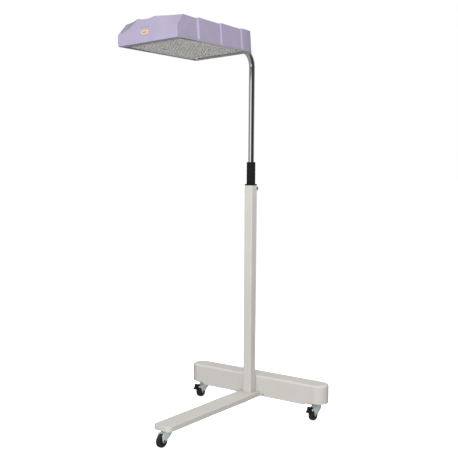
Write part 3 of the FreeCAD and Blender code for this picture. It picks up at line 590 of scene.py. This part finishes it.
# ---- mast --------------------------------------------------------------------------------------------
def mast():
    """The chromed tube: upright, one bend and the arm that goes into the hood."""
    upright, bend, arm = 12, 32, 4
    path = [(0, 0, MAST_FOOT + (BEND_Z - MAST_FOOT) * i / upright) for i in range(upright)]
    for i in range(bend + 1):
        turn = math.pi / 2 * i / bend
        path.append((0, -BEND_R * (1 - math.cos(turn)), BEND_Z + BEND_R * math.sin(turn)))
    path += [(0, -BEND_R - (ARM_TIP - BEND_R) * i / arm, ARM_Z) for i in range(1, arm + 1)]
    piece("mast_chrome_tube", swept(path, TUBE_R, 96), "mast", "mast_chrome", ["mast_tube"], 40.0)


# ---- castors -----------------------------------------------------------------------------------------
# Each is drawn round its own swivel axis; the wheel trails behind it towards -Y. Points of the side
# outlines are (y, z).
TRAIL, WHEEL_R, WHEEL_W = 27.0, 25.5, 21.0
WHEEL_HALF = WHEEL_W / 2
AXLE = (0.0, -TRAIL, WHEEL_R)
AXLE_R, FORK_IN, FORK_T = 3.0, 11.7, 2.5
FORK_OUT = FORK_IN + FORK_T
PIN, PIN_R = (-53.5, 52.0), 2.0
UPPER_TOE, LOWER_TOE, LUG, TOE_R = (-57.0, 60.2), (-66.0, 43.6), (-53.2, 42.0), 4.3


def fork_sheet(half, top, corner, low):
    """Cross-section of the folded sheet's outside or inside."""
    return rounded([(-half, low), (-half, top), (half, top), (half, low)], [0.2, corner, corner, 0.2])


def fork(braked):
    """Pressed fork: a folded sheet cut to the side outline, and a round crown under the bearing."""
    tail, nose, over = -62, 20, 1
    inner = prism(fork_sheet(FORK_IN, 55, 2.0, 4), "XZ", tail - over, nose + over)
    folded = combine("DIFFERENCE", prism(fork_sheet(FORK_OUT, 58, 4.5, 5), "XZ", tail, nose), [inner])
    outline = [(19.5, 58.5), (19.5, 49.0), (18.8, 46.9), (12, 41), (-4, 30)] + arc(AXLE[1:], 7, -38, -180, 14)
    if braked:
        outline += [(-36.2, 38), (-38.5, 42.6), (-43, 44.6), (-51, 47.0)] + arc(PIN, 5.0, -100, -220, 8)
        outline += [(-50, 57.0), (-24, 58.5)]
    else:
        outline += [(-36.2, 38), (-37.0, 47), (-34, 53), (-27, 58.5)]
    body = combine("INTERSECT", folded, [prism(outline, "YZ", -20, 20)])
    window = prism([(tail, 54), (-24.5, 54), (-24.5, 60), (tail, 60)], "YZ", -FORK_IN, FORK_IN)
    body = combine("DIFFERENCE", body, [window])
    ring = [(4.2, 54.6), (15, 54.6), (20.5, 55.6), (20.5, 57.4), (19.8, 58), (4.2, 58)]
    body = combine("UNION", body, [turned(ring, ORIGIN, UPWARD, 72, ring=True)])
    clear, across = 0.1, 30
    holes = [rod(4.1, (0, 0, 40), UPWARD, 30)]
    holes.append(rod(AXLE_R + clear, (-across, *AXLE[1:]), RIGHTWARD, 2 * across))
    if braked:
        holes.append(rod(PIN_R + clear, (-across, *PIN), RIGHTWARD, 2 * across))
    return bevelled(combine("DIFFERENCE", body, holes), 0.45, 2, 30.0)


def bearing():
    """The swivel head that is fixed to the base: flange, ball race, rivet and stem."""
    race = [(0, 58.2), (13.6, 58.2), (15, 58.9), (15.2, 60.2), (14.4, 61.0), (14.4, 61.6), (15, 62.4)]
    flange = [(19.7, 62.5), (20.5, 63.2), (20.5, 65.0), (5, 65.0), (5, 79.2), (4.2, 80.0), (0, 80.0)]
    rivet = [(0, 52.0), (4.5, 52.0), (6.6, 52.8), (7, 53.8), (6.6, 54.4), (4.0, 54.4), (4.0, 58.3), (0, 58.3)]
    return joined([turned(race + flange, ORIGIN, UPWARD, 72), turned(rivet, ORIGIN, UPWARD, 48)])


def mirrored(profile):
    """A wheel's profile and its mirror image on the other side."""
    return profile + [(r, -x) for r, x in reversed(profile)]


def tyre():
    """Solid tyre: rounded shoulders, a parting line round the tread and a bead against the rim."""
    half, shoulder_r = WHEEL_HALF, 4.9
    bead = [(18.0, half - 0.9), (18.9, half - 0.15), (20.2, half)]
    shoulder = arc((20.6, half - shoulder_r), shoulder_r, 82, 14, 9)
    tread = [(WHEEL_R, half - 6.6), (WHEEL_R, 0.45), (WHEEL_R - 0.14, 0.25)]
    return turned(mirrored(bead + shoulder + tread), AXLE, RIGHTWARD, 96, ring=True)


def wheel_centre():
    """Moulded centre: rim, recessed web with six ribs a side, and the boss on the axle."""
    half = WHEEL_HALF
    side = [(3.1, half + 1), (5.2, half + 1), (6, half + 0.3), (6.3, 5.4), (15.1, 5.0), (15.6, half - 1.6),
            (16.2, half - 1.0), (18, half - 1.1)]
    parts = [turned(mirrored(side), AXLE, RIGHTWARD, 72, ring=True)]
    ribs, lead = 6, 0.26
    for end in (-1, 1):
        for i in range(ribs):
            rib = bevelled(box(sorted((end * 4.6, end * 8.0)), (-1.1, 1.1), (5.6, 15.8)), 0.4, 2)
            rib.transform(Matrix.Rotation(2 * math.pi / ribs * i + lead * end, 4, "X"))
            rib.transform(Matrix.Translation(Vector(AXLE) * MM))
            parts.append(rib)
    return joined(parts)


def hexagon_head(centre, axis, size, height, nut=False):
    """A hexagon with its corners turned off at its outer end, or at both for a nut."""
    axis, centre = Vector(axis), Vector(centre)
    side = axis.orthogonal().normalized()
    other = axis.cross(side)
    angles = [math.pi / 3 * i for i in range(6)]
    ring = [side * math.cos(a) * size + other * math.sin(a) * size for a in angles]
    points = [centre + p for p in ring] + [centre + p + axis * height for p in ring]
    faces = [list(range(6))[::-1], list(range(6, 12))]
    faces += [[i, (i + 1) % 6, 6 + (i + 1) % 6, 6 + i] for i in range(6)]
    low = 0.5 if nut else 0.0
    inner_end = [(0, 0), (size - 2 * low, 0), (size, low + 0.02)]
    outer_end = [(size, height - 0.6), (size - 1.1, height), (0, height)]
    return combine("INTERSECT", solid_from(points, faces), [turned(inner_end + outer_end, centre, axis, 48)])


def axle():
    """Bolt head and washer on the right, nut and thread end on the left."""
    washer = [(0, 0), (6.4, 0), (6.4, 0.7), (6.1, 0.9), (0, 0.9)]
    chamfer = [(0, 0), (AXLE_R, 0), (AXLE_R, 0.4), (AXLE_R - 0.5, 0.9), (0, 0.9)]
    washer_t, thread = 0.9, 4.3

    def at(x):
        return (x, *AXLE[1:])

    return joined([
        rod(AXLE_R, at(-FORK_OUT - thread), RIGHTWARD, 2 * FORK_OUT + 6),
        turned(washer, at(FORK_OUT), RIGHTWARD, 48),
        turned(washer, at(-FORK_OUT), LEFTWARD, 48),
        turned(chamfer, at(-FORK_OUT - thread + 0.2), LEFTWARD, 32),
        hexagon_head(at(FORK_OUT + washer_t), RIGHTWARD, 4.9, 2.2),
        hexagon_head(at(-FORK_OUT - washer_t), LEFTWARD, 5.4, 3.1, nut=True),
    ])


def pedal():
    """Brake pedal: two rounded toes and the lug on one boss, with grip ribs across the toes' ends."""
    half = WHEEL_HALF + 0.7

    def toe(tip, tip_r, boss_r):
        way = Vector(tip) - Vector(PIN)
        angle = math.degrees(math.atan2(way.y, way.x))
        outline = arc(PIN, boss_r, angle + 90, angle + 270, 12) + arc(tip, tip_r, angle - 90, angle + 90, 12)
        return prism(outline, "YZ", -half, half)

    body = combine("UNION", toe(UPPER_TOE, TOE_R, 4.0), [toe(LOWER_TOE, TOE_R, 4.0), toe(LUG, 1.5, 3.8)])
    upper_grips = ((-60.6, 62.5), (-58.2, 64.0), (-55.5, 64.0))
    lower_grips = ((-69.7, 45.6), (-70.2, 43.0))
    ribs = [rod(0.6, (-half + 2, *grip), RIGHTWARD, 2 * half - 4, 16) for grip in upper_grips + lower_grips]
    return joined([bevelled(body, 0.8, 3, 35.0)] + ribs)


def pedal_pin():
    head = [(0, 0), (2.9, 0), (3.1, 0.4), (2.4, 1.0), (0, 1.3)]
    return joined([rod(PIN_R, (-FORK_OUT, *PIN), RIGHTWARD, 2 * FORK_OUT, 24),
                   turned(head, (FORK_OUT, *PIN), RIGHTWARD, 32),
                   turned(head, (-FORK_OUT, *PIN), LEFTWARD, 32)])


def castors():
    """Three castors; the two rear ones have a brake pedal."""
    plain, braked = fork(False), fork(True)
    rubber_ring, centre, bolt, toes, pin = tyre(), wheel_centre(), axle(), pedal(), pedal_pin()
    heads = []
    for corner in ("front", "rear_left", "rear_right"):
        name = "castor_" + corner + "_"
        low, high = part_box(name + "hub")
        place = Matrix.Translation(((low.x + high.x) / 2, (low.y + high.y) / 2 + TRAIL * MM, 0))
        swivel, wheel, brake = name + "swivel", name + "wheel", name + "brake"
        has_brake = corner != "front"
        pressing = braked if has_brake else plain
        piece(name + "fork_pressing", pressing, swivel, "zinc_plate", [name + "fork"], place=place)
        piece(name + "axle_bolt", bolt, swivel, "bright_screw", [name + "axle"], place=place)
        piece(name + "tyre_solid", rubber_ring, wheel, "castor_tyre", [name + "tyre"], place=place)
        piece(name + "wheel_centre", centre, wheel, "wheel_centre", [name + "hub"], place=place)
        if has_brake:
            piece(name + "pedal_toes", toes, brake, "black_moulding", [name + "pedal"], place=place)
            piece(name + "pedal_pin", pin, swivel, "bright_screw", place=place)
        head = bearing()
        head.transform(place)
        heads.append(head)
    piece("castor_bearings", joined(heads), "base", "zinc_plate", ["castor_heads"], place=Matrix())


# ---- screws and badge --------------------------------------------------------------------------------
def cross_head(radius, height):
    """Pan head with a cross recess, standing on z = 0."""
    wall = 0.35 * height
    dome = [(radius * math.cos(a), wall + (height - wall) * math.sin(a)) for a in (0.4, 0.75, 1.1, 1.35)]
    head = turned([(0, 0), (radius, 0), (radius, wall)] + dome + [(0, height)], ORIGIN, UPWARD, 40)
    wide, thin = radius * 0.56, radius * 0.16
    depth = (0.3 * height, 2 * height)
    cross = [box((-wide, wide), (-thin, thin), depth), box((-thin, thin), (-wide, wide), depth)]
    return combine("DIFFERENCE", head, cross)


def screw_heads(name, body, head, spots, first_turn, turn_step, node_name, place):
    """One piece of several heads. A spot is (x, y, z, way): way 1 looks forward and -1 looks back."""
    made = []
    for i, (x, y, z, way) in enumerate(spots):
        facing = Matrix.Rotation(math.radians(90.0 * way), 4, "X")
        one = head.copy()
        one.transform(Matrix.Translation(Vector((x, y, z)) * MM) @ facing
                      @ Matrix.Rotation(first_turn + turn_step * i, 4, "Z"))
        made.append(one)
    piece(name, joined(made), body, "bright_screw", [node_name], place=place)


def screws():
    front, rear = 25.0, 116.0
    casing = [(x, front, 75.0, 1) for x in (-58.0, 58.0)]
    casing += [(x, rear, 89.0, -1) for x in (-290.0, -100.0, 100.0, 290.0)]
    head = cross_head(3.8, 1.8)
    screw_heads("casing_screw_heads", "base", head, casing, 0.4, 0.7, "casing_screws", AT_COLUMN)
    panel_y = -1.5
    panel = [(x, panel_y, z, -1) for x in (-116.0, 116.0) for z in (-26.0, 24.0)]
    head = cross_head(3.4, 1.5)
    screw_heads("hood_screw_heads", "head", head, panel, 0.2, 0.9, "hood_screws", HEAD)


def plate(x, z, width, height, corner, out, deep):
    """A small plate on the hood's sloping front, standing out by one amount and let in by another."""
    front = -HOOD_L + FRONT_LEAN * max(0.0, z - RIM_Z - RIM_H) / (HOOD_H - RIM_H)
    outline = rounded(rectangle(x, z, width, height), [corner] * 4)
    return prism(outline, "XZ", front - out, front + deep)


def badge():
    """A plain amber plate with a dark bar, and a short row of small grey marks above it; no lettering."""
    middle = -10
    field = bevelled(plate(middle, -7, 34, 15, 3.0, 0.7, 0.8), 0.35, 2)
    bar = plate(middle, -7.4, 19, 2.6, 1.25, 0.95, 0.2)
    marks = [plate(-25, 11, 7, 5.0, 1.2, 0.25, 0.6)]
    marks += [plate(x, 11, 5, 5.0, 1.2, 0.25, 0.6) for x in (-14, -6, 2, 10)]
    piece("badge_plate", field, "head", "badge_amber", place=HEAD)
    piece("badge_bar", bar, "head", "badge_brown", place=HEAD)
    piece("front_marks", joined(marks), "head", "badge_grey", place=HEAD)


# ---- floor, light and camera, in metres --------------------------------------------------------------
# diffuse light from all round, and its share from the left, from the right and from below
AMBIENT, FROM_LEFT, FROM_RIGHT, FROM_BELOW = 0.70, 0.10, 0.66, 0.90
# what shiny pieces reflect: the room, its one window and its dark side
ROOM, WINDOW, DARK_SIDE = 0.34, 1.15, 0.14
FLOOR_HALF, FLOOR_GLOW = 60, 0.65


def floor():
    """Pale floor. It neither lights nor shows in the lamp: the light from below is in the world."""
    g = Graph("studio_floor")
    g.put("Base Color", g.mix(g.noise(3.0), (0.93, 0.93, 0.93), (0.95, 0.95, 0.948)))
    g.put("Roughness", 0.85)
    g.put("Emission Color", (1.0, 1.0, 1.0, 1.0))
    g.put("Emission Strength", FLOOR_GLOW)
    mesh = bpy.data.meshes.new("studio_floor")
    corners = [(x * FLOOR_HALF, y * FLOOR_HALF, 0) for x, y in ((-1, -1), (1, -1), (1, 1), (-1, 1))]
    mesh.from_pydata(corners, [], [(0, 1, 2, 3)])
    mesh.materials.append(g.material)
    made = bpy.data.objects.new("studio_floor", mesh)
    bpy.context.scene.collection.objects.link(made)
    made.visible_diffuse = False
    made.visible_glossy = False


def studio():
    """Even light from all round, weaker from the sides. Reflections see a dim room with one bright window
    and a dark side, and the camera sees plain white."""
    world = bpy.data.worlds.new("studio")
    bpy.context.scene.world = world
    g = Graph("studio", world)

    def toward(direction, start, stop, low, high):
        """Goes smoothly from low to high as a ray turns toward the direction; start and stop are cosines."""
        facing = g.node("ShaderNodeVectorMath", {0: g.position, 1: direction}, operation="DOT_PRODUCT")
        facing = facing.outputs["Value"]
        inputs = {"Value": facing, "From Min": start, "From Max": stop, "To Min": low, "To Max": high}
        return g.node("ShaderNodeMapRange", inputs, interpolation_type="SMOOTHSTEP").outputs[0]

    light = g.compute("MULTIPLY", toward(LEFTWARD, -0.2, 0.6, AMBIENT, AMBIENT * FROM_LEFT),
                   toward(UPWARD, -0.4, 0.2, FROM_BELOW, 1.0))
    light = g.compute("MULTIPLY", light, toward(RIGHTWARD, -0.1, 0.9, 1.0, FROM_RIGHT))
    window = toward((0.06, -0.998, 0.0), 0.93, 0.965, ROOM, WINDOW)
    room = g.compute("MULTIPLY", window, toward((0.986, -0.167, 0.0), 0.50, 0.74, 1.0, DARK_SIDE))
    room = g.compute("ADD", room, toward(UPWARD, 0.45, 0.8, 0.0, 0.5))
    paths = g.node("ShaderNodeLightPath", {}).outputs
    level = g.node("ShaderNodeMix", {0: paths["Is Glossy Ray"], 2: light, 3: room}).outputs[0]
    level = g.node("ShaderNodeMix", {0: paths["Is Camera Ray"], 2: level, 3: 1.0}).outputs[0]
    g.put("Color", (1.0, 1.0, 1.0, 1.0))
    g.put("Strength", level)


def soft_box(name, place, target, width, height, power):
    data = bpy.data.lights.new(name, "AREA")
    data.shape = "RECTANGLE"
    data.size, data.size_y = width, height
    data.energy = power
    made = bpy.data.objects.new(name, data)
    made.location = place
    made.rotation_euler = (Vector(target) - Vector(place)).to_track_quat("-Z", "Y").to_euler()
    made.visible_glossy = False
    bpy.context.scene.collection.objects.link(made)


def camera():
    """Eye level, long lens and a very slight roll, looking at the lamp from its front right."""
    yaw, pitch, roll = math.radians(35.418), math.radians(-4.412), math.radians(0.396)
    ahead = Vector((-math.sin(yaw) * math.cos(pitch), math.cos(yaw) * math.cos(pitch), math.sin(pitch)))
    level = Vector((math.cos(yaw), math.sin(yaw), 0))
    upright = level.cross(ahead)
    right = level * math.cos(roll) + upright * math.sin(roll)
    up = upright * math.cos(roll) - level * math.sin(roll)
    data = bpy.data.cameras.new("camera")
    data.sensor_width = 36.0
    data.lens = 63.3
    made = bpy.data.objects.new("camera", data)
    turn = Matrix((right, up, -ahead)).transposed().to_4x4()
    made.matrix_world = Matrix.Translation((1.9741, COLUMN_Y - 2.9393, 1.0855)) @ turn
    bpy.context.scene.collection.objects.link(made)
    bpy.context.scene.camera = made


hood()
mast()
castors()
screws()
badge()
floor()
studio()
soft_box("key", (2.6, -5.2, 1.6), (0, 0, 1.0), 2.4, 2.0, 350.0)
soft_box("over_base", (0, 0.1, 1.48), (0, 0.1, 0), 3.2, 3.2, 38.0)
bpy.context.scene.view_settings.view_transform = "Standard"
camera()
